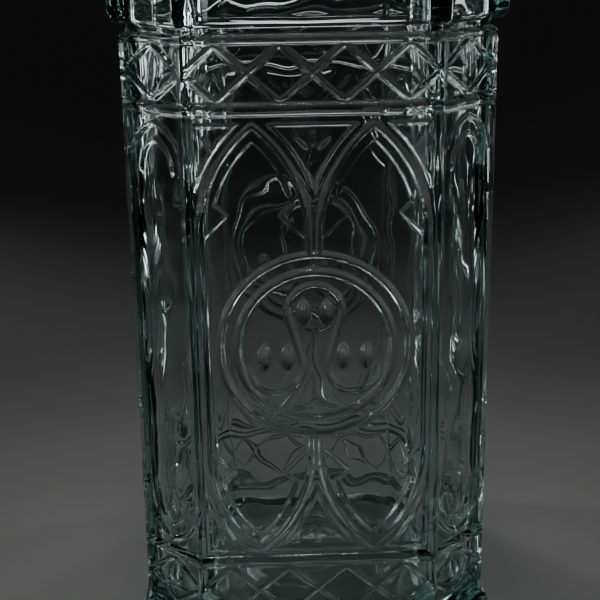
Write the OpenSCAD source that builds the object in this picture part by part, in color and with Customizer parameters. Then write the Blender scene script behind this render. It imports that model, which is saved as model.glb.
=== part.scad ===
// Square Gothic bottle of mould-blown glass, with an applied lip, a shell cork and a glass stopper.
// Millimetres, +Z up. The origin is at the middle of the flat foot. -Y is the front face.

/* [Body] */
// Width of the body across its flats
body_w = 84; // [82:0.5:88]
// Length that each cut corner takes off a side
corner_cut = 13.4; // [12.8:0.1:14.2]
// Thickness of the walls
wall = 4.2; // [3.6:0.1:5]
// Height of the body from the foot to the top of the cornice
body_h = 165; // [164:0.5:168]

/* [Bands] */
// Height of the foot
foot_h = 8.5; // [7:0.1:9]
// How far the foot and the cornice stand out
foot_out = 3; // [2.4:0.1:3.6]
// Height of each lattice band
lattice_h = 12.4; // [12:0.1:13]
// Height of each bead moulding
bead_h = 3.4; // [3:0.1:3.8]

/* [Relief] */
// Height of the ridges above the panel
ridge_h = 0.9; // [0.7:0.05:1.1]
// Width of a window ridge
ridge_w = 1.8; // [1.5:0.1:2]
// Outer radius of the medallion
medallion_r = 23.1; // [22.6:0.1:23.4]

/* [Neck and closure] */
// Radius of the bore of the neck
bore_r = 13; // [12.5:0.1:13.5]
// Height of the neck above the cornice, up to the mouth
neck_top = 67; // [66:0.5:70]
// Depth of the cork in the bore
cork_depth = 20; // [18:0.5:21]
// Radius of the stopper's peg
peg_r = 7.95; // [7.5:0.05:8.2]

/* [Hidden] */
$fn = 96;
eps = 0.01;

// Heights of the bands, counted up from the foot
half_w = body_w / 2;
cove_top = foot_h + 3.9;
low_lattice_top = cove_top + lattice_h;
panel_low = low_lattice_top + bead_h;
cornice_h = 9.4;
cornice_low = body_h - cornice_h;
roll_low = cornice_low - 4;
panel_high = roll_low - lattice_h - bead_h;
panel_mid = (panel_low + panel_high) / 2;
sink = 0.6;

// Plan of the body: half the width of a wide face, and the distance out to a cut corner's face
face_half = half_w - corner_cut;
cut_face_r = (2 * half_w - corner_cut) / sqrt(2);
cut_half = corner_cut / sqrt(2);

// Windows: a pair of lancets, pointed at both ends
window_x = 13.6;
window_half = 12.4;
window_arc_r = 32;
spring_dz = 26.6;
reveal = 3;
cusp_z = 31.6;

// Lancets on the cut corners
corner_rise = 12;

// Shoulder: a dome through the corners, faired into the neck
mouth_z = body_h + neck_top;
neck_r = bore_r + 4.6;
shoulder_half = half_w - 1;
shoulder_corner = norm([shoulder_half, face_half]);
dome_low = body_h + 1;
dome_high_r = 24;
dome_high = body_h + 23;
dome_z = (dome_high * dome_high + dome_high_r * dome_high_r
          - dome_low * dome_low - shoulder_corner * shoulder_corner)
         / (2 * (dome_high - dome_low));
dome_r = norm([dome_high_r, dome_high - dome_z]);
fair_r = 8;
fair_z = dome_z + sqrt(pow(dome_r + fair_r, 2) - pow(neck_r + fair_r, 2));

// Base: thick glass with a push-up
base_t = 6.5;
push_r = 70;
push_rise = 4;
inside_push_r = 62;
inside_push_rise = 5;

// Closure
lip_h = 11;
lip_r = neck_r + 5;
lip_round = 3.2;
ring_r = 2.3;
seal_t = 2.6;
cork_r = bore_r - 0.05;
collar_r = bore_r + 3.4;
flange_t = 5;
flange_r = bore_r + 3;
peg_clear = 0.05;
peg_len = 17;
knob_z = mouth_z + seal_t + flange_t;
knob_r = 12.4;

function arc(cx, cz, r, a0, a1, n) =
    [for (i = [0:n]) let (a = a0 + (a1 - a0) * i / n) [cx + r * cos(a), cz + r * sin(a)]];

// Outline of the mouldings: how far each height stands out from the plain wall
function body_outline() = concat(
    [[foot_out - 1.6, 0]],
    arc(foot_out - 1.6, 1.6, 1.6, -70, 0, 4),
    arc(foot_out - 2, foot_h - 2, 2, 0, 78, 5),
    arc(foot_out, cove_top - 0.2, 3.1, 236, 180, 6),
    [[0, cove_top], [0, low_lattice_top]],
    bead(low_lattice_top),
    [[0, panel_low], [0, panel_high]],
    bead(panel_high),
    [[0, panel_high + bead_h], [0, roll_low]],
    arc(0, roll_low + 0.9, 0.9, -80, 80, 6),
    [[-0.5, roll_low + 2.2], [-0.5, cornice_low - 0.4]],
    arc(foot_out - 2.2, cornice_low + 2.2, 2.5, -80, 0, 6),
    arc(foot_out - 1.7, body_h - 2.2, 2, 0, 80, 5),
    [[0, body_h], [-3, body_h + eps]]);

function bead(z) = arc(-0.5, z + bead_h / 2, bead_h / 2 - 0.05, -72, 72, 8);

// A solid with the body's eight-sided plan, whose sides follow an outline of [out, height] points
module eight_sided(outline, half = half_w, cut_r = undef) {
    intersection_for (turn = [0:45:135]) {
        cut_reach = is_undef(cut_r) ? half + cut_face_r - half_w : cut_r;
        reach = turn % 90 == 0 ? half : cut_reach;
        right = [for (p = outline) [reach + p.x, p.y]];
        left = [for (i = [len(right) - 1:-1:0]) [-right[i].x, right[i].y]];
        rotate([90, 0, turn])
            linear_extrude(3 * body_w, center = true)
                polygon(concat(right, left));
    }
}

// Plan of the body at half a width: a square with cut corners
module plan(half) {
    side = face_half - (half_w - half) * tan(22.5);
    polygon([for (turn = [0:90:270], end = [-1, 1])
        [half * cos(turn) - end * side * sin(turn), half * sin(turn) + end * side * cos(turn)]]);
}

// Glass outside and inside, before the relief
module outer_blank() {
    eight_sided(body_outline());
    intersection() {
        eight_sided([[0, body_h - 3], [0, mouth_z]], shoulder_half);
        translate([0, 0, dome_z]) sphere(dome_r);
    }
    rotate_extrude() neck_outline();
}

module neck_outline() {
    translate([0, dome_z]) square([neck_r, mouth_z - dome_z]);
    difference() {
        translate([0, dome_high - 2]) square([neck_r + fair_r, fair_z - dome_high + 2]);
        translate([neck_r + fair_r, fair_z]) circle(fair_r);
        fair_foot();
    }
}

// What the fillet's square must not reach: everything beyond the line from its centre to the dome's
module fair_foot() {
    out = neck_r + fair_r;
    polygon([[out, fair_z], [0, dome_z], [out + 30, dome_z], [out + 30, fair_z]]);
}

module inside() {
    intersection() {
        translate([0, 0, base_t]) linear_extrude(mouth_z) plan(half_w - wall);
        union() {
            cylinder(r = dome_r - wall, h = dome_z);
            translate([0, 0, dome_z]) sphere(dome_r - wall);
        }
    }
    translate([0, 0, panel_mid]) cylinder(r = bore_r, h = mouth_z);
}

module push_up(r, rise, low) {
    translate([0, 0, low + rise - r]) sphere(r);
}

// One wide face's drawing, in [across, up from the middle of the panel]
module window_shape(grow) {
    r = window_arc_r + grow;
    offset_x = window_arc_r - window_half;
    for (end = [-1, 1]) translate([0, end * spring_dz]) intersection() {
        translate([-offset_x, 0]) circle(r);
        translate([offset_x, 0]) circle(r);
    }
    square([2 * (window_half + grow), 2 * spring_dz], center = true);
}

module windows(grow) {
    for (side = [-1, 1]) translate([side * window_x, 0]) window_shape(grow);
}

module window_ridges() {
    difference() {
        union() for (side = [-1, 1]) translate([side * window_x, 0]) difference() {
            window_shape(ridge_w / 2);
            window_shape(-ridge_w / 2);
        }
        circle(medallion_r - 0.5);
    }
}

// The flat step inside each arch, which ends in a pair of cusps
module reveals() {
    cusp_x = 5.5;
    cusp_top = cusp_z + 2.7;
    cusp_low = cusp_z - 5.8;
    step_low = 24;
    edge = window_half - 1;
    inner_reach = sqrt(pow(window_arc_r - reveal, 2) - pow(cusp_top - spring_dz, 2));
    inner = inner_reach - window_arc_r + window_half - 0.2;
    tall = 2 * window_arc_r;
    for (side = [-1, 1], end = [0, 1]) translate([side * window_x, 0]) mirror([0, end]) difference() {
        intersection() {
            window_shape(0);
            translate([-tall / 2, step_low]) square(tall);
        }
        intersection() {
            window_shape(-reveal);
            translate([-tall / 2, cusp_top - 0.1]) square(tall);
        }
        polygon([[inner, cusp_top], [cusp_x, cusp_z], [edge, cusp_low], [edge, step_low - 4],
                 [-edge, step_low - 4], [-edge, cusp_low], [-cusp_x, cusp_z], [-inner, cusp_top]]);
    }
}

// Framed triangles between the arches, each with its spray of dashes
module spandrels() {
    top = (panel_high - panel_low) / 2 - 1.3;
    low = spring_dz + 4;
    side_gap = 1.8;
    arch_gap = 2.2;
    line_w = 0.8;
    reach = face_half - side_gap;
    for (end = [0, 1]) mirror([0, end]) {
        difference() {
            translate([-reach, low]) square([2 * reach, top - low]);
            windows(arch_gap);
            difference() {
                translate([line_w - reach, 0]) square([2 * (reach - line_w), top - line_w]);
                windows(arch_gap + line_w);
            }
        }
        for (a = [-48, 0, 48]) translate([0, top - 7]) rotate(a) translate([0, 3.4]) dash();
        for (side = [-1, 1], a = [-30, 30])
            translate([side * (face_half - 6.2), top - 6.2]) rotate(a) translate([0, 2]) dash();
    }
}

module dash() {
    square([0.9, 2.6], center = true);
}

module ring(r_out, r_in) {
    difference() {
        circle(r_out);
        circle(r_in);
    }
}

// Part of a ring, from angle a0 to a1, under 180 degrees
module ring_part(r, w, a0, a1) {
    far = 3 * r;
    mid = (a0 + a1) / 2;
    intersection() {
        ring(r + w / 2, r - w / 2);
        polygon([[0, 0], far * [cos(a0), sin(a0)], far * [cos(mid), sin(mid)], far * [cos(a1), sin(a1)]]);
    }
}

module stroke(p, q, w) {
    along = (q - p) / norm(q - p);
    side = [-along.y, along.x] * w / 2;
    polygon([p - side, q - side, q + side, p + side]);
}

// Tracery of the medallion: one ribbon round two low lobes and over a high one
lobe_r = 6.3;
lobe_w = 1.3;
lattice_w = 1.3;
high_lobe = [0, 8.7];
low_lobe = [9.2, -5];
between = high_lobe - [-low_lobe.x, low_lobe.y];
cross_a = atan2(between.y, between.x) - acos(2 * lobe_r / norm(between));
leaf_w = 3.3;
leaf_h = 6.7;

module tracery() {
    ring(medallion_r, medallion_r - 1.8);
    ring(19.2, 17);
    translate(high_lobe) {
        ring_part(lobe_r, lobe_w, 88, 180 + cross_a);
        ring_part(lobe_r, lobe_w, -cross_a, 90);
    }
    for (side = [0, 1]) mirror([side, 0]) {
        out = lobe_r * [cos(cross_a), sin(cross_a)];
        lap = 0.5 * [-sin(cross_a), cos(cross_a)];
        stroke([-low_lobe.x, low_lobe.y] + out - lap, high_lobe - out + lap, lobe_w - 0.1);
        translate([-low_lobe.x, low_lobe.y]) {
            ring_part(lobe_r, lobe_w, cross_a, cross_a - 92);
            ring_part(lobe_r, lobe_w, cross_a - 90, cross_a - 178);
        }
        stroke([0, -13.2], [-4.6, -15.3], 1.1);
    }
    for (x = [-low_lobe.x, 0, low_lobe.x], side = [-1, 1])
        translate([x + side * 2.7, x == 0 ? high_lobe.y - 0.3 : low_lobe.y + 2.6]) leaf();
}

module leaf() {
    r = (leaf_w * leaf_w + leaf_h * leaf_h) / (4 * leaf_w);
    intersection() {
        translate([r - leaf_w / 2, 0]) circle(r);
        translate([leaf_w / 2 - r, 0]) circle(r);
    }
}

// Lattice of a wide face: four diamonds, with half a crossing at each edge
module lattice() {
    pitch = face_half / 2;
    intersection() {
        square([2 * face_half, lattice_h + 1], center = true);
        union() for (i = [-2:2], lean = [-1, 1]) translate([i * pitch, 0]) {
            far = 0.55 * [pitch, lean * lattice_h];
            stroke(-far, far, lattice_w);
        }
    }
}

// Lattice of a cut corner: one diamond
module cut_lattice() {
    intersection() {
        square([2 * cut_half, lattice_h + 1], center = true);
        union() for (side = [-1, 1], lean = [-1, 1])
            stroke([side * cut_half * 1.1, -lean * 0.6], [-side * 0.8, lean * lattice_h * 0.55], lattice_w);
    }
}

// Narrow lancet on a cut corner, from edge to edge, with a second arch inside it
module corner_arch(grow) {
    r = (corner_rise * corner_rise + cut_half * cut_half) / (2 * cut_half);
    intersection() {
        translate([cut_half - r, 0]) circle(r + grow);
        translate([r - cut_half, 0]) circle(r + grow);
        translate([-cut_half, 0]) square([2 * cut_half, 2 * corner_rise]);
    }
}

module corner_arches() {
    top = (panel_high - panel_low) / 2 - 1;
    for (end = [0, 1], grow = [0, -3.6]) mirror([0, end]) translate([0, top - corner_rise]) difference() {
        corner_arch(grow);
        corner_arch(grow - 1.3);
    }
}

// Stands a drawing up on the face at this distance from the axis
module on_face(turn, distance, height, proud) {
    rotate([0, 0, turn]) translate([0, sink - distance, height]) rotate([90, 0, 0])
        linear_extrude(proud + sink) children();
}

module relief() {
    lattice_z = [cove_top + lattice_h / 2, roll_low - lattice_h / 2];
    for (turn = [0:90:270]) {
        on_face(turn, half_w, panel_mid, ridge_h) {
            window_ridges();
            tracery();
            spandrels();
        }
        on_face(turn, half_w, panel_mid, ridge_h / 2) reveals();
        on_face(turn + 45, cut_face_r, panel_mid, ridge_h) corner_arches();
        for (z = lattice_z) {
            on_face(turn, half_w, z, ridge_h) lattice();
            on_face(turn + 45, cut_face_r, z, ridge_h) cut_lattice();
        }
        for (side = [-1, 1]) rotate([0, 0, turn])
            translate([side * face_half, -half_w, cove_top - 2])
                cylinder(r = 1.1, h = roll_low - cove_top + 2.5);
    }
}

module bottle_body() {
    color([0.72, 0.88, 0.82, 0.6]) difference() {
        union() {
            outer_blank();
            relief();
        }
        difference() {
            inside();
            push_up(inside_push_r, inside_push_rise, base_t);
        }
        push_up(push_r, push_rise, 0);
    }
}

module applied_lip() {
    color([0.7, 0.87, 0.81, 0.7]) rotate_extrude() difference() {
        union() {
            translate([0, mouth_z - lip_h + ring_r]) square([lip_r - lip_round, lip_h - ring_r]);
            translate([lip_r - lip_round, mouth_z - lip_round]) circle(lip_round);
            translate([lip_r - lip_round - 0.6, mouth_z - lip_h + ring_r]) circle(ring_r);
        }
        square([neck_r, mouth_z + 10]);
    }
}

module shell_cork() {
    color([0.76, 0.6, 0.42]) difference() {
        union() {
            translate([0, 0, mouth_z - cork_depth]) cylinder(r = cork_r, h = cork_depth);
            translate([0, 0, mouth_z]) cylinder(r = collar_r, h = seal_t);
        }
        translate([0, 0, mouth_z - cork_depth - 1]) cylinder(r = peg_r + peg_clear, h = cork_depth + 10);
    }
}

// Faceted head: a waist, a flared collar of facets, a steep spire and a small finial
module glass_stopper() {
    color([0.7, 0.87, 0.81, 0.7]) {
        translate([0, 0, mouth_z + seal_t - peg_len]) cylinder(r = peg_r, h = peg_len + eps);
        translate([0, 0, mouth_z + seal_t]) cylinder(r = flange_r, h = flange_t - 1);
        translate([0, 0, knob_z - 1 - eps]) cylinder(r1 = flange_r, r2 = flange_r - 1.6, h = 1 + eps);
        eight_sided([[-5, knob_z - 1], [-5.6, knob_z + 3], [0, knob_z + 9], [0.4, knob_z + 12],
                     [-1, knob_z + 14], [-8.6, knob_z + 27], [-9.2, knob_z + 27.6]], knob_r, knob_r);
        translate([0, 0, knob_z + 29]) sphere(3);
    }
}

bottle_body();
applied_lip();
shell_cork();
glass_stopper();
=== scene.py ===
"""Square Gothic bottle of pale aqua glass, with an applied lip, a shell cork and a faceted glass stopper.

The bottle is one closed skin of glass, laid out as rings of points: up the outside from the middle of the
foot, over the mouth and down the inside. The relief is a height above the plain wall, worked out from
distances to arcs and lines. Lengths are in millimetres until a mesh is made. -Y is the front face.
"""

import math
import bpy
import numpy as np
from mathutils import Matrix, Vector


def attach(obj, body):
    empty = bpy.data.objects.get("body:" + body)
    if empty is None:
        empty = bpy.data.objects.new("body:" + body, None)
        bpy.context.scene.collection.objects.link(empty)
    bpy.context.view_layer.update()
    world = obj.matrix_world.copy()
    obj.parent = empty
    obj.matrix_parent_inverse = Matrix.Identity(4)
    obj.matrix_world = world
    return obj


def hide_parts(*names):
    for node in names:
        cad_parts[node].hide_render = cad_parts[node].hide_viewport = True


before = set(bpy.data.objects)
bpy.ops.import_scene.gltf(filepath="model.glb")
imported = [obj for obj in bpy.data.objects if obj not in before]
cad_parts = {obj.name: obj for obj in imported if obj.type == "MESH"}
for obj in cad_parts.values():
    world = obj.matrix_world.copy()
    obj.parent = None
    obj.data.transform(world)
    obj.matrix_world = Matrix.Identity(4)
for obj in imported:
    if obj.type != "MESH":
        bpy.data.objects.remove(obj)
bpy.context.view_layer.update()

MM = 0.001
SEED = 1851

# ---------------------------------------------------------------- dimensions, as in the CAD model
HALF_W = 42.0
CORNER_CUT = 13.4
WALL = 4.2
BODY_H = 165.0
FOOT_H = 8.5
FOOT_OUT = 3.0
COVE_H = 3.9
COVE_TOP = FOOT_H + COVE_H
LATTICE_H = 12.4
BEAD_H = 3.4
ROLL_H = 4.0
CORNICE_H = 9.4
LOW_LATTICE_TOP = COVE_TOP + LATTICE_H
PANEL_LOW = LOW_LATTICE_TOP + BEAD_H
CORNICE_LOW = BODY_H - CORNICE_H
ROLL_LOW = CORNICE_LOW - ROLL_H
PANEL_HIGH = ROLL_LOW - LATTICE_H - BEAD_H
PANEL_MID = (PANEL_LOW + PANEL_HIGH) / 2

FACE_HALF = HALF_W - CORNER_CUT
CUT_R = (2 * HALF_W - CORNER_CUT) / math.sqrt(2)
CUT_HALF = CORNER_CUT / math.sqrt(2)
MITRE = math.tan(math.radians(22.5))

BORE_R = 13.0
NECK_R = BORE_R + 4.6
NECK_TOP = 67.0
MOUTH_Z = BODY_H + NECK_TOP
SHOULDER_OUT = -1.0
# The shoulder is part of a sphere through two rings: SHOULDER_CORNER from the axis at the height DOME_LOW,
# and DOME_HIGH_R from it at DOME_HIGH
SHOULDER_CORNER = math.hypot(HALF_W + SHOULDER_OUT, FACE_HALF)
DOME_LOW = BODY_H + 1
DOME_HIGH = BODY_H + 23
DOME_HIGH_R = 24.0
DOME_Z = (DOME_HIGH ** 2 + DOME_HIGH_R ** 2 - DOME_LOW ** 2 - SHOULDER_CORNER ** 2) / (
    2 * (DOME_HIGH - DOME_LOW))
DOME_R = math.hypot(DOME_HIGH_R, DOME_HIGH - DOME_Z)
FAIR_R = 8.0  # fillet between the shoulder and the neck
BASE_T = 6.5
# The push-up under the foot and the one inside are parts of spheres
PUSH_R = 70.0
PUSH_RISE = 4.0
INSIDE_PUSH_R = 62.0
INSIDE_PUSH_RISE = 5.0
INSIDE_CORNER_R = 44.6  # the inside's corners are rounded off about this far from the axis

# Lip, cork and stopper
LIP_ROUND = 3.2
LIP_R = NECK_R + 5.0
RING_R = 2.3
LIP_H = 11.0
SEAL_T = 2.6
CORK_DEPTH = 20.0
CORK_CLEAR = 0.05
COLLAR_R = BORE_R + 3.4
PEG_R = 7.95
PEG_LEN = 17.0
PEG_CLEAR = 0.05
FLANGE_R = BORE_R + 3.0
FLANGE_T = 5.0
KNOB_R = 12.4

# A wide face's windows: place, half width, height of the springing from the panel's middle, arcs' radius
WINDOW_X = 13.6
WINDOW_HALF = 12.4
SPRING = 26.6
WINDOW_ARC_R = 32.0
REVEAL = 3.0
CUSP_Z = 31.6

# The medallion: outer edge, middle of the inner ring, and the ribbon's lobes
RING_OUT = 23.1
INNER_RING = 18.1
LOBE_R = 6.3
HIGH_LOBE = (0.0, 8.7)
LOW_LOBE = (9.2, -5.0)

# Colour of the glass, and how fast it deepens with the depth of glass, per metre
GREEN = (0.12, 0.70, 0.56)
GREEN_DEPTH = 20

GRID = 0.34  # spacing of the points over the relief
THIN = 3  # the neck, the inside and the foot's underside have one column for this many of the relief's


# ---------------------------------------------------------------- small tools
def arc(cx, cz, r, a0, a1, n=24):
    a = np.radians(np.linspace(a0, a1, n))
    return np.stack([cx + r * np.cos(a), cz + r * np.sin(a)], 1)


def resample(points, step):
    """Points along a line at even spacing, near to step."""
    points = np.asarray(points, float)
    run = np.concatenate([[0], np.cumsum(np.linalg.norm(np.diff(points, axis=0), axis=1))])
    at = np.linspace(0, run[-1], max(2, int(round(run[-1] / step)) + 1))
    return np.stack([np.interp(at, run, points[:, i]) for i in range(2)], 1)


def smooth(t):
    """Soft step from 0 to 1 as t goes from 0 to 1."""
    t = np.clip(t, 0, 1)
    return t * t * (3 - 2 * t)


def soft_min(a, b, k):
    """The lower of a and b, blended where they are less than k apart."""
    h = np.clip(0.5 + 0.5 * (b - a) / k, 0, 1)
    return b + (a - b) * h - k * h * (1 - h)


def ripple(u, v, seed, shortest, longest, waves=14):
    """Gentle waves over a surface, mostly between -1 and 1, from a few sines of fixed seed."""
    rng = np.random.default_rng(seed)
    total = np.zeros(np.broadcast(u, v).shape)
    for _ in range(waves):
        length = shortest * (longest / shortest) ** rng.random()
        way = rng.random() * 2 * math.pi
        phase = rng.random() * 2 * math.pi
        total += np.sin(2 * math.pi * (u * math.cos(way) + v * math.sin(way)) / length + phase)
    return total / math.sqrt(waves) / 1.4


# ---------------------------------------------------------------- relief
def ridge(distance, half, height, shoulder=0.7):
    """A rib of this half width about a line, flat on top with soft sides."""
    return height * smooth((half - np.abs(distance)) / shoulder)


def to_window(x, z):
    """Distance outside the lancet's outline, negative inside. The lancet is pointed at both ends."""
    across = np.abs(x) - WINDOW_HALF
    up = np.maximum(np.abs(z) - SPRING, 0)
    return np.where(up > 0, np.hypot(across + WINDOW_ARC_R, up) - WINDOW_ARC_R, across)


def to_polygon(x, z, corners):
    """Signed distance to a closed outline, negative inside."""
    best = np.full(x.shape, 1e9)
    inside = np.zeros(x.shape, bool)
    for (ax, az), (bx, bz) in zip(corners, corners[1:] + corners[:1]):
        ex, ez = bx - ax, bz - az
        t = np.clip(((x - ax) * ex + (z - az) * ez) / (ex * ex + ez * ez), 0, 1)
        best = np.minimum(best, np.hypot(x - ax - t * ex, z - az - t * ez))
        crosses = (az > z) != (bz > z)
        inside ^= crosses & (x < ex * (z - az) / (ez if ez else 1e-9) + ax)
    return np.where(inside, -best, best)


def to_line(x, z, ax, az, bx, bz):
    """Distance to the straight line from a to b."""
    ex, ez = bx - ax, bz - az
    t = np.clip(((x - ax) * ex + (z - az) * ez) / (ex * ex + ez * ez), 0, 1)
    return np.hypot(x - ax - t * ex, z - az - t * ez)


def to_arc(x, z, cx, cz, r, a0, a1):
    """Distance to the part of a circle from angle a0 up to a1, in degrees."""
    a = np.degrees(np.arctan2(z - cz, x - cx))
    turn = np.mod(a - a0, 360)
    ends = [np.hypot(x - cx - r * math.cos(math.radians(e)), z - cz - r * math.sin(math.radians(e)))
            for e in (a0, a1)]
    return np.where(turn <= a1 - a0, np.abs(np.hypot(x - cx, z - cz) - r), np.minimum(*ends))


def tracery(x, z):
    """Medallion: two rings, a ribbon round three lobes, and six leaves."""
    r = np.hypot(x, z)
    ring_half = 0.95
    high = ridge(r - RING_OUT + ring_half, ring_half, 0.95)
    high = np.maximum(high, ridge(r - INNER_RING, 1.1, 0.95))
    x = np.abs(x)
    span = np.hypot(LOW_LOBE[0] - HIGH_LOBE[0], HIGH_LOBE[1] - LOW_LOBE[1])
    lean = math.degrees(math.atan2(HIGH_LOBE[1] - LOW_LOBE[1], LOW_LOBE[0]))
    cross = 180 - (lean - math.degrees(math.acos(2 * LOBE_R / span)))
    cx, cz = math.cos(math.radians(cross)), math.sin(math.radians(cross))
    start = (LOW_LOBE[0] + LOBE_R * cx, LOW_LOBE[1] + LOBE_R * cz)
    end = (HIGH_LOBE[0] - LOBE_R * cx, HIGH_LOBE[1] - LOBE_R * cz)
    ribbon = to_line(x, z, *start, *end)
    ribbon = np.minimum(ribbon, to_arc(x, z, *HIGH_LOBE, LOBE_R, cross - 180, 90))
    ribbon = np.minimum(ribbon, to_arc(x, z, *LOW_LOBE, LOBE_R, cross, 355))
    high = np.maximum(high, ridge(ribbon, 0.75, 0.85, 0.55))
    tent_foot, tent_rise, tent_half = 15.3, 2.1, 4.6
    tent = np.abs(z + tent_foot - tent_rise * np.clip(1 - x / tent_half, 0, 1) ** 1.6) * 0.85
    tent += np.maximum(x - tent_half, 0)
    high = np.maximum(high, ridge(tent, 0.62, 0.8, 0.5))
    aside, high_leaf, low_leaf = 2.7, 8.4, -2.4
    for cx, cz in ((aside, high_leaf), (LOW_LOBE[0] - aside, low_leaf), (LOW_LOBE[0] + aside, low_leaf)):
        high = np.maximum(high, leaf(x - cx, z - cz))
    return high


def leaf(x, z):
    """A small upright leaf, pointed above and below, with a soft crease down its middle."""
    half, tall, proud = 1.65, 3.35, 1.15
    r = (half * half + tall * tall) / (2 * half)
    deep = np.clip((r - np.hypot(np.abs(x) + r - half, z)) / half, 0, 1)
    return proud * deep ** 0.8


def spray(x, z, angles, near_end, far_end):
    """Short strokes that fan out from a point, at these angles from straight up."""
    high = np.zeros(x.shape)
    for angle in angles:
        sin, cos = math.sin(math.radians(angle)), math.cos(math.radians(angle))
        stroke = to_line(x, z, -near_end * sin, near_end * cos, -far_end * sin, far_end * cos)
        high = np.maximum(high, ridge(stroke, 0.6, 0.7, 0.5))
    return high


def wide_panel(x, z):
    """Relief of a wide face between the bead mouldings. z is up from the middle of the panel."""
    high = np.zeros(x.shape)
    top = (PANEL_HIGH - PANEL_LOW) / 2 - 1.3
    near = np.minimum(to_window(x - WINDOW_X, z), to_window(x + WINDOW_X, z))
    cusp_x, cusp_top, cusp_low, edge, step_low = 5.5, CUSP_Z + 2.7, CUSP_Z - 5.8, WINDOW_HALF - 1, 10
    cusps = [(8.2, cusp_top), (cusp_x, CUSP_Z), (edge, cusp_low), (edge, step_low),
             (-edge, step_low), (-edge, cusp_low), (-cusp_x, CUSP_Z), (-8.2, cusp_top)]
    for side in (-1, 1):
        wx = x - side * WINDOW_X
        out = to_window(wx, z)
        up = np.abs(z)
        opening = np.maximum(out + REVEAL, cusp_top - 0.1 - up)
        opening = np.minimum(opening, to_polygon(wx, up, cusps))
        step = np.minimum(opening, -out)
        high = np.maximum(high, 0.5 * smooth(step / 0.6) * (up > 24))
        high = np.maximum(high, ridge(out, 0.95, 0.95))
    arch_gap, side_gap = 2.2, 1.8
    frame_line = np.maximum.reduce([arch_gap - near, np.abs(x) - FACE_HALF + side_gap, np.abs(z) - top,
                                    SPRING + 4 - np.abs(z)])
    high = np.maximum(high, ridge(frame_line + 0.45, 0.5, 0.55, 0.4))
    high = np.maximum(high, spray(x, np.abs(z) - (top - 7), (-48, 0, 48), 2.1, 4.7))
    side_spray = spray(np.abs(x) - FACE_HALF + 6.2, np.abs(z) - (top - 6.2), (-30, 30), 0.7, 3.3)
    high = np.maximum(high, side_spray)
    r = np.hypot(x, z)
    cover = smooth((RING_OUT - 0.4 - r) / 0.8)
    return np.maximum(high * (1 - cover), tracery(x, z) * smooth((RING_OUT + 0.3 - r) / 0.6))


def lattice(x, z, pitch):
    """Crossed bars, with a crossing at each multiple of pitch. z is up from the middle of the band."""
    slope = LATTICE_H / pitch
    high = np.zeros(x.shape)
    for lean in (-1, 1):
        off = np.mod(lean * z / slope - x + pitch / 2, pitch) - pitch / 2
        high = np.maximum(high, ridge(off * slope / math.hypot(1, slope), 0.72, 0.8, 0.5))
    return high


def cut_panel(x, z):
    """Relief of a cut corner between the bead mouldings: two arches, one inside the other, at each end."""
    rise = 12.0
    between = 3.6
    r = (rise * rise + CUT_HALF * CUT_HALF) / (2 * CUT_HALF)
    up = np.abs(z) - ((PANEL_HIGH - PANEL_LOW) / 2 - 1 - rise)
    out = np.hypot(np.abs(x) + r - CUT_HALF, np.maximum(up, 0)) - r
    high = ridge(out + 0.65, 0.8, 0.85)
    high = np.maximum(high, ridge(out + 0.65 + between, 0.75, 0.7))
    return high * smooth(up / 1.5 + 0.5)


def corner_bead(x, half):
    """The slim round that runs up each corner."""
    proud, reach = 1.05, 1.35
    return proud * np.sqrt(np.clip(1 - ((half - np.abs(x)) / reach) ** 2, 0, 1))


# ---------------------------------------------------------------- the bottle's skin
def face_columns():
    """Along-face place, face and half width of every column of points, going round from the front."""
    along, face, half = [], [], []
    for f in range(8):
        reach = FACE_HALF if f % 2 == 0 else CUT_HALF
        n = THIN * int(round(2 * reach / GRID / THIN))
        along += list(np.linspace(-reach, reach, n, endpoint=False))
        face += [f] * n
        half += [reach] * n
    return np.array(along), np.array(face), np.array(half)


ALONG, FACE, HALF = face_columns()
FACE_A = np.radians(-90 + 45 * FACE)
FACE_R = np.where(FACE % 2 == 0, HALF_W, CUT_R)
GIRTH = np.cumsum(np.concatenate([[0], np.hypot(*np.diff(
    [FACE_R * np.cos(FACE_A) - ALONG * np.sin(FACE_A), FACE_R * np.sin(FACE_A) + ALONG * np.cos(FACE_A)],
    axis=1))]))


def thin_out(x, y):
    """Distance from the axis and turn about it of one point in THIN of a ring, and its way round."""
    x, y = x[::THIN], y[::THIN]
    return np.hypot(x, y), np.arctan2(y, x), GIRTH[::THIN]


def ring_at(radius, turn, z):
    """Points of one ring, from their distances from the axis and their turns about it."""
    return np.stack([radius * np.cos(turn), radius * np.sin(turn), np.broadcast_to(z, turn.shape)], 1)


def plan(out, high=0.0):
    """x and y of a ring that stands this far out from the plain wall, with relief on top of it."""
    near_corner = smooth(1 - (HALF - np.abs(ALONG)) / 2.5) * np.sign(ALONG)
    along = ALONG * (HALF + out * MITRE) / HALF + near_corner * high * MITRE
    r = FACE_R + out + high
    return r * np.cos(FACE_A) - along * np.sin(FACE_A), r * np.sin(FACE_A) + along * np.cos(FACE_A)


def bead(z):
    """Outline of a bead moulding whose foot is at this height."""
    return arc(-0.5, z + BEAD_H / 2, BEAD_H / 2 - 0.05, -72, 72, 24)


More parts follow.
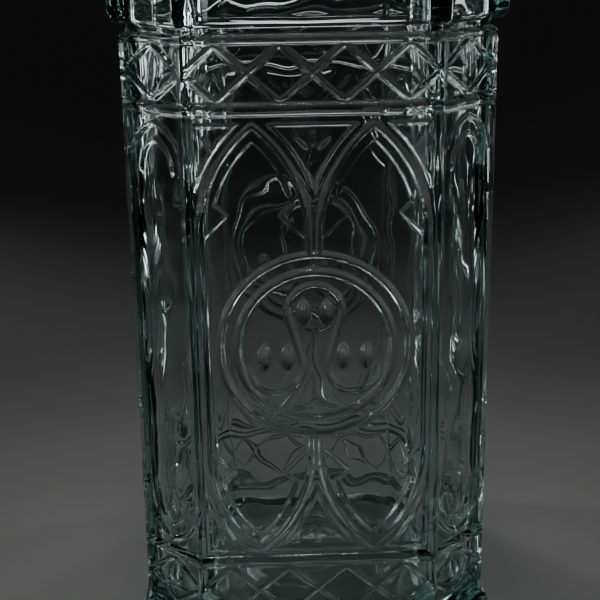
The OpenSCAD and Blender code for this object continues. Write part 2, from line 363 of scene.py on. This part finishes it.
def body_outline():
    """Mouldings from the foot to the cornice, as [out from the plain wall, height]."""
    return np.concatenate([
        arc(FOOT_OUT - 1.6, 1.6, 1.6, -90, 0, 14),
        arc(FOOT_OUT - 2, FOOT_H - 2, 2, 0, 78, 14),
        arc(FOOT_OUT, COVE_TOP - 0.2, 3.1, 236, 180, 14),
        [[0, COVE_TOP], [0, LOW_LATTICE_TOP]],
        bead(LOW_LATTICE_TOP),
        [[0, PANEL_LOW], [0, PANEL_HIGH]],
        bead(PANEL_HIGH),
        [[0, PANEL_HIGH + BEAD_H], [0, ROLL_LOW]],
        arc(0, ROLL_LOW + 0.9, 0.9, -80, 80, 12),
        [[-0.5, ROLL_LOW + 2.2], [-0.5, CORNICE_LOW - 0.4]],
        arc(FOOT_OUT - 2.2, CORNICE_LOW + 2.2, 2.5, -80, 0, 12),
        arc(FOOT_OUT - 1.7, BODY_H - 2.2, 2, 0, 84, 12),
        [[-0.6, BODY_H], [SHOULDER_OUT, BODY_H + 0.35]]])


def wall_relief(z):
    """Relief of one ring of the wall at this height."""
    wide = FACE % 2 == 0
    high = np.zeros(ALONG.shape)
    at = np.full(ALONG.shape, z)
    for mid in (COVE_TOP + LATTICE_H / 2, ROLL_LOW - LATTICE_H / 2):
        if abs(z - mid) < LATTICE_H / 2 + 0.3:
            bars = np.where(wide, lattice(ALONG + FACE_HALF / 2, at - mid, FACE_HALF / 2),
                            lattice(ALONG + CUT_HALF, at - mid, 2 * CUT_HALF))
            high = np.maximum(high, bars * smooth((LATTICE_H / 2 + 0.3 - abs(z - mid)) / 0.8))
    if PANEL_LOW - 0.3 < z < PANEL_HIGH + 0.3:
        high = np.where(wide, wide_panel(ALONG, at - PANEL_MID), cut_panel(ALONG, at - PANEL_MID))
    if COVE_TOP - 2.5 < z < ROLL_LOW + 1:
        fade = smooth((z - COVE_TOP + 2.5) / 2.5) * smooth((ROLL_LOW + 1 - z) / 1.5)
        high = np.maximum(high, corner_bead(ALONG, HALF) * fade)
    return high


def outer_wall():
    """Rings from the middle of the foot to the top of the cornice."""
    rings = []
    flat, turn, _ = thin_out(*plan(FOOT_OUT - 1.6))
    for share in np.linspace(0, 1, 46)[1:-1]:
        push = np.sqrt(PUSH_R ** 2 - (flat * share) ** 2) - PUSH_R + PUSH_RISE
        rings.append(ring_at(flat * share, turn, np.maximum(push, 0)))
    outline = resample(body_outline(), GRID * 0.86)
    for out, z in outline:
        plain = smooth(1 - abs(out) / 0.5) if z > COVE_TOP else 1.0
        high = wall_relief(z) * plain
        lift = smooth(z / 12)
        high = high + lift * 0.05 * ripple(GIRTH, z, SEED, 9, 32)
        x, y = plan(out, high)
        rings.append(np.stack([x, y, np.full(x.shape, z)], 1))
    return rings


def neck_profile(dome_r, fair_r, neck_r, corner_r):
    """Dome and fillet as [radius, height], from corner_r up to the foot of the straight neck."""
    fair_z = DOME_Z + math.sqrt((dome_r + fair_r) ** 2 - (neck_r + fair_r) ** 2)
    meet = math.degrees(math.atan2(fair_z - DOME_Z, neck_r + fair_r))
    start = math.degrees(math.acos(corner_r / dome_r))
    return np.concatenate([arc(0, DOME_Z, dome_r, start, meet, 60),
                           arc(neck_r + fair_r, fair_z, fair_r, meet + 180, 180, 24)[1:]])


def outer_neck():
    """Rings of the shoulder and neck, up to the mouth's outer edge."""
    flat, turn, girth = thin_out(*plan(SHOULDER_OUT))
    profile = neck_profile(DOME_R, FAIR_R, NECK_R, 50.0)
    mouth_edge = arc(NECK_R - 1.4, MOUTH_Z - 1.4, 1.4, 0, 90, 8)
    rings = []
    for r, z in resample(np.concatenate([profile, mouth_edge]), 0.75):
        radius = soft_min(flat, r, 2.5)
        radius += 0.16 * ripple(girth, z, SEED + 1, 18, 60) * smooth((MOUTH_Z - 12 - z) / 10)
        rings.append(ring_at(radius, turn, z))
    return rings


def inner_skin():
    """Rings down the inside, from the mouth to the middle of the base."""
    flat, turn, girth = thin_out(*plan(-WALL))
    flat = soft_min(flat, INSIDE_CORNER_R, 4.0)
    mouth_edge = arc(BORE_R + 1.2, MOUTH_Z - 1.2, 1.2, 90, 180, 7)
    dome = neck_profile(DOME_R - WALL, 6, BORE_R, 46.0)[::-1]
    profile = resample(np.concatenate([mouth_edge, dome]), 1.1)
    heel = 10.0
    low = dome[-1, 1]
    rows, beyond = 100, 60.0  # a ring this wide is cut back to the flat walls
    wall = np.stack([np.full(rows, beyond), np.linspace(low - 1, BASE_T + heel, rows)], 1)
    rings = []
    for r, z in np.concatenate([profile, wall]):
        radius = soft_min(flat, r, 5.0)
        depth = smooth((MOUTH_Z - 34 - z) / 24) * smooth((z - BASE_T) / 14)
        uneven = 0.42 * ripple(girth, z, SEED + 2, 22, 80) + 0.07 * ripple(girth, z, SEED + 3, 7, 16)
        radius += depth * uneven
        rings.append(ring_at(radius, turn, z))
    for inward, z in resample(arc(heel, heel, heel, 180, 270, 20), 1.2)[1:]:
        rings.append(ring_at(flat - inward, turn, z + BASE_T))
    for share in np.linspace(1, 0, 26)[1:-1]:
        radius = (flat - heel) * share
        bulge = np.sqrt(INSIDE_PUSH_R ** 2 - radius ** 2) - INSIDE_PUSH_R + INSIDE_PUSH_RISE
        z = BASE_T - soft_min(-bulge, 0, 2.0) - 0.5
        rings.append(ring_at(radius, turn, np.maximum(z, BASE_T)))
    return rings


def strip(low, n, high, m):
    """Faces between a ring of n points from low on and the next, of m points from high on.

    They are four-sided, or three-sided where one ring has several times as many points as the other.
    """
    if n == m:
        j = np.arange(n)
        k = (j + 1) % n
        return np.stack([low + j, low + k, high + k, high + j], 1)
    many, few = max(n, m), min(n, m)
    fine, coarse = (low, high) if n > m else (high, low)
    i = np.arange(many)
    near = (i * few + many // 2) // many % few
    after = np.roll(near, -1)
    step = near != after
    fans = np.stack([fine + i, fine + (i + 1) % many, coarse + near], 1)
    gaps = np.stack([fine + (i + 1) % many, coarse + after, coarse + near], 1)[step]
    faces = np.concatenate([fans, gaps])
    return faces if n > m else faces[:, ::-1]


def skin(name, rings, ends=None):
    """A closed mesh from rings of points, which go up the outside.

    ends are the points that close it at the first and last ring. Without them the last ring joins the first,
    as on a sleeve.
    """
    sizes = [len(ring) for ring in rings]
    starts = np.concatenate([[0], np.cumsum(sizes)])
    points = np.concatenate(rings)
    last = len(rings) - 1
    faces = [strip(starts[i], sizes[i], starts[i + 1], sizes[i + 1]) for i in range(last)]
    if ends is None:
        faces.append(strip(starts[last], sizes[last], 0, sizes[0]))
    else:
        for at, ring in ((0, 0), (1, last)):
            j = np.arange(sizes[ring])
            k = (j + 1) % sizes[ring]
            pair = [starts[ring] + k, starts[ring] + j] if at == 0 else [starts[ring] + j, starts[ring] + k]
            faces.append(np.stack([np.full(sizes[ring], len(points) + at), *pair], 1))
        points = np.concatenate([points, ends])
    corners = np.concatenate([part.ravel() for part in faces])
    sides = np.concatenate([np.full(len(part), part.shape[1]) for part in faces])
    mesh = bpy.data.meshes.new(name)
    mesh.vertices.add(len(points))
    mesh.vertices.foreach_set("co", (points * MM).ravel())
    mesh.loops.add(len(corners))
    mesh.loops.foreach_set("vertex_index", corners.astype(np.int32))
    mesh.polygons.add(len(sides))
    mesh.polygons.foreach_set("loop_start", np.concatenate([[0], np.cumsum(sides)[:-1]]).astype(np.int32))
    mesh.polygons.foreach_set("use_smooth", np.ones(len(sides), bool))
    mesh.update(calc_edges=True)
    mesh.validate()
    piece = bpy.data.objects.new(name, mesh)
    bpy.context.scene.collection.objects.link(piece)
    return piece


def turned(profile, cols, shape):
    """Rings of a turned piece from [radius, height] points. shape(turn, r, z) gives a ring's radii."""
    turn = np.linspace(0, 2 * math.pi, cols, endpoint=False)
    return [ring_at(shape(turn, r, z), turn, z) for r, z in profile]


# ---------------------------------------------------------------- materials
def glass(name):
    """Clear glass that takes its green from the depth of glass that light passes through."""
    material = bpy.data.materials.new(name)
    material.use_nodes = True
    nodes, links = material.node_tree.nodes, material.node_tree.links
    shader = nodes["Principled BSDF"]
    shader.inputs["Base Color"].default_value = (1, 1, 1, 1)
    shader.inputs["Roughness"].default_value = 0
    shader.inputs["IOR"].default_value = 1.52
    shader.inputs["Transmission Weight"].default_value = 1
    depth = nodes.new("ShaderNodeVolumeAbsorption")
    depth.inputs["Color"].default_value = (*GREEN, 1)
    depth.inputs["Density"].default_value = GREEN_DEPTH
    links.new(depth.outputs["Volume"], nodes["Material Output"].inputs["Volume"])
    return material


def cork_bark():
    """Natural cork: warm tan with soft grain, darker pores drawn out upwards, and small cells."""
    material = bpy.data.materials.new("natural_cork")
    material.use_nodes = True
    nodes, links = material.node_tree.nodes, material.node_tree.links
    shader = nodes["Principled BSDF"]
    shader.inputs["Roughness"].default_value = 0.85
    place = nodes.new("ShaderNodeTexCoord")
    grain = nodes.new("ShaderNodeTexNoise")
    grain.inputs["Scale"].default_value = 420
    grain.inputs["Detail"].default_value = 6
    grain.inputs["Roughness"].default_value = 0.7
    cells = nodes.new("ShaderNodeTexVoronoi")
    cells.inputs["Scale"].default_value = 900
    long_way = nodes.new("ShaderNodeMapping")
    long_way.inputs["Scale"].default_value = (1, 1, 0.35)
    pores = nodes.new("ShaderNodeTexNoise")
    pores.inputs["Scale"].default_value = 700
    pores.inputs["Detail"].default_value = 2
    for texture in (grain, cells):
        links.new(place.outputs["Object"], texture.inputs["Vector"])
    links.new(place.outputs["Object"], long_way.inputs["Vector"])
    links.new(long_way.outputs["Vector"], pores.inputs["Vector"])
    tan = nodes.new("ShaderNodeValToRGB")
    tan.color_ramp.elements[0].position = 0.32
    tan.color_ramp.elements[0].color = (0.30, 0.165, 0.075, 1)
    tan.color_ramp.elements[1].position = 0.68
    tan.color_ramp.elements[1].color = (0.60, 0.405, 0.225, 1)
    links.new(grain.outputs["Fac"], tan.inputs["Fac"])
    spots = nodes.new("ShaderNodeValToRGB")
    spots.color_ramp.elements[0].position = 0.34
    spots.color_ramp.elements[0].color = (0.22, 0.16, 0.12, 1)
    spots.color_ramp.elements[1].position = 0.42
    spots.color_ramp.elements[1].color = (1, 1, 1, 1)
    links.new(pores.outputs["Fac"], spots.inputs["Fac"])
    mix = nodes.new("ShaderNodeMix")
    mix.data_type = "RGBA"
    mix.blend_type = "MULTIPLY"
    mix.inputs["Factor"].default_value = 1
    links.new(tan.outputs["Color"], mix.inputs["A"])
    links.new(spots.outputs["Color"], mix.inputs["B"])
    links.new(mix.outputs["Result"], shader.inputs["Base Color"])
    bump = nodes.new("ShaderNodeBump")
    bump.inputs["Strength"].default_value = 0.6
    bump.inputs["Distance"].default_value = 0.0002
    links.new(spots.outputs["Color"], bump.inputs["Height"])
    rough = nodes.new("ShaderNodeBump")
    rough.inputs["Strength"].default_value = 0.4
    rough.inputs["Distance"].default_value = 0.0002
    links.new(cells.outputs["Distance"], rough.inputs["Height"])
    links.new(bump.outputs["Normal"], rough.inputs["Normal"])
    links.new(rough.outputs["Normal"], shader.inputs["Normal"])
    return material


# ---------------------------------------------------------------- pieces
def finish_piece(piece, material, body, node):
    piece.data.materials.append(material)
    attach(piece, body)
    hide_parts(node)


def make_bottle():
    rings = outer_wall() + outer_neck() + inner_skin()
    bottle = skin("moulded_bottle", rings, ends=[(0, 0, 3.7), (0, 0, BASE_T + 4.6)])
    finish_piece(bottle, glass("aqua_glass"), "bottle", "bottle_body")


def make_lip():
    """Collar of glass laid round the neck and tooled to a thick round over a thin one."""
    gap = 0.03
    inner = NECK_R + gap
    profile = np.concatenate([
        arc(LIP_R - LIP_ROUND - 0.6, MOUTH_Z - LIP_H + RING_R, RING_R, 240, 412, 24),
        arc(LIP_R - LIP_ROUND, MOUTH_Z - LIP_ROUND, LIP_ROUND, -52, 90, 24),
        arc(inner + 0.5, MOUTH_Z - 0.5, 0.5, 90, 180, 6),
        [[inner, MOUTH_Z - 2], [inner, MOUTH_Z - 9.8]]])
    profile = resample(np.concatenate([profile, profile[:1]]), 0.45)[:-1]

    def tooled(turn, r, z):
        outer = smooth((r - inner) / 2)
        return r - outer * (0.1 + 0.1 * ripple(turn * 19, z, SEED + 4, 9, 45))

    lip = skin("tooled_lip", turned(profile, 220, tooled))
    finish_piece(lip, glass("lip_glass"), "bottle", "applied_lip")


def make_cork():
    outer, bore = BORE_R - CORK_CLEAR, PEG_R + PEG_CLEAR
    low, high = MOUTH_Z - CORK_DEPTH, MOUTH_Z + SEAL_T
    profile = np.concatenate([
        arc(outer - 0.7, low + 0.7, 0.7, -90, 0, 6),
        [[outer, MOUTH_Z - 0.1], [outer, MOUTH_Z], [COLLAR_R - 0.4, MOUTH_Z]],
        arc(COLLAR_R - 0.5, MOUTH_Z + 0.5, 0.5, -80, 0, 5),
        arc(COLLAR_R - 0.6, high - 0.6, 0.6, 0, 90, 6),
        [[bore, high], [bore, low]]])
    profile = resample(np.concatenate([profile, profile[:1]]), 0.4)[:-1]

    def pitted(turn, r, z):
        pits = ripple(turn * 13, z * 0.5, SEED + 5, 0.9, 3.5, 24)
        return r - np.clip(pits - 0.75, 0, 0.5) * 0.6 * (r > bore + 1)

    cork = skin("shell_cork_sleeve", turned(profile, 260, pitted))
    finish_piece(cork, cork_bark(), "cork", "shell_cork")


def make_stopper():
    seat = MOUTH_Z + SEAL_T
    knob = seat + FLANGE_T
    head = resample([[KNOB_R - 5.3, knob + 0.2], [KNOB_R - 5.6, knob + 3], [KNOB_R, knob + 9],
                     [KNOB_R + 0.4, knob + 12], [KNOB_R - 1, knob + 14], [KNOB_R - 8.6, knob + 27]], 0.4)
    outline = np.concatenate([
        arc(PEG_R - 1, seat - PEG_LEN + 1, 1, -88, 0, 8),
        [[PEG_R, seat - 10], [PEG_R, seat - 5], [PEG_R, seat - 0.3]],
        arc(PEG_R + 0.3, seat - 0.3, 0.3, 180, 90, 4),
        [[FLANGE_R - 0.6, seat + 0.02]],
        arc(FLANGE_R - 0.6, seat + 0.62, 0.6, -90, 0, 6),
        [[FLANGE_R, knob - 2.2]],
        arc(FLANGE_R - 1.6, knob - 1.6, 1.6, 0, 84, 10),
        [[KNOB_R - 3.6, knob - 0.25]],
        head,
        arc(0, knob + 29, 3, -20, 88, 18)])
    profile = resample(outline, 0.42)

    def faceted(turn, r, z):
        facets = smooth((z - knob) / 1.5) * smooth((knob + 27.4 - z) / 1.2)
        off = np.mod(turn + math.pi / 8, math.pi / 4) - math.pi / 8
        flat = soft_min(r / np.cos(off), r * 1.055, r * 0.03)
        return r + (flat - r) * facets

    stopper = skin("gothic_stopper", turned(profile, 288, faceted),
                   ends=[(0, 0, seat - PEG_LEN), (0, 0, knob + 32)])
    finish_piece(stopper, glass("stopper_glass"), "stopper",
                 "glass_stopper")


make_bottle()
make_lip()
make_cork()
make_stopper()


# ---------------------------------------------------------------- floor, lights and camera
def make_floor():
    mesh = bpy.data.meshes.new("floor")
    far, low = 6.0, -0.0002
    corners = [(-far, -far, low), (far, -far, low), (far, far, low), (-far, far, low)]
    mesh.from_pydata(corners, [], [(0, 1, 2, 3)])
    floor = bpy.data.objects.new("floor", mesh)
    bpy.context.scene.collection.objects.link(floor)
    material = bpy.data.materials.new("floor_paper")
    material.use_nodes = True
    shader = material.node_tree.nodes["Principled BSDF"]
    shader.inputs["Base Color"].default_value = (0.62, 0.62, 0.61, 1)
    shader.inputs["Roughness"].default_value = 0.9
    mesh.materials.append(material)


def softbox(name, place, aim, size, watts, spread):
    """A panel light. spread is the whole angle, in degrees, that it shines into."""
    light = bpy.data.lights.new(name, "AREA")
    light.shape = "RECTANGLE"
    light.size, light.size_y = size
    light.energy = watts
    light.spread = math.radians(spread)
    lamp = bpy.data.objects.new(name, light)
    lamp.location = place
    lamp.rotation_mode = "QUATERNION"
    lamp.rotation_quaternion = (Vector(aim) - Vector(place)).to_track_quat("-Z", "Y")
    bpy.context.scene.collection.objects.link(lamp)


def make_lights():
    """Narrow panels behind and beside the bottle draw its edges in light, and leave the floor dim."""
    middle = (0, 0, 0.11)
    upper = (0, 0, 0.18)
    softbox("top_strip", (0, -0.14, 0.80), (0, -0.02, 0.15), (0.20, 0.03), 0.008, 24)
    softbox("back_top", (0, 0.85, 0.42), (0, 0, 0.16), (0.50, 0.12), 0.018, 50)
    softbox("back_softbox", (-0.30, 0.50, 0.60), (0, -0.03, 0.14), (0.26, 0.16), 0.014, 30)
    softbox("left_strip", (-0.60, 0.15, 0.20), middle, (0.03, 0.30), 0.030, 34)
    softbox("right_strip", (0.60, 0.20, 0.20), middle, (0.03, 0.30), 0.016, 34)
    softbox("back_left", (-0.50, 0.60, 0.25), middle, (0.14, 0.40), 0.070, 48)
    softbox("back_right", (0.50, 0.60, 0.25), middle, (0.14, 0.40), 0.040, 48)
    softbox("front_left", (-0.62, -0.55, 0.24), upper, (0.12, 0.36), 0.032, 40)
    softbox("front_right", (0.62, -0.55, 0.24), upper, (0.12, 0.36), 0.032, 40)
    world = bpy.data.worlds.new("studio")
    world.use_nodes = True
    world.node_tree.nodes["Background"].inputs["Color"].default_value = (0.009, 0.009, 0.0095, 1)
    bpy.context.scene.world = world


def make_camera():
    """The photograph's camera: a long lens near the bottle, 17 degrees above it and almost face on."""
    yaw, down, roll = math.radians(1.864), math.radians(17.41), math.radians(-0.861)
    place = Vector((-12.43, -319.33, 180.44)) * MM
    look = Vector((math.sin(yaw) * math.cos(down), math.cos(yaw) * math.cos(down), -math.sin(down)))
    right = look.cross(Vector((0, 0, 1))).normalized()
    up = right.cross(look)
    side = math.cos(roll) * right + math.sin(roll) * up
    top = math.cos(roll) * up - math.sin(roll) * right
    camera = bpy.data.cameras.new("camera")
    camera.sensor_width = 36
    camera.lens = 75.71
    camera.clip_start = 0.01
    obj = bpy.data.objects.new("camera", camera)
    obj.matrix_world = Matrix.Translation(place) @ Matrix((side, top, -look)).transposed().to_4x4()
    bpy.context.scene.collection.objects.link(obj)
    bpy.context.scene.camera = obj


make_floor()
make_lights()
make_camera()
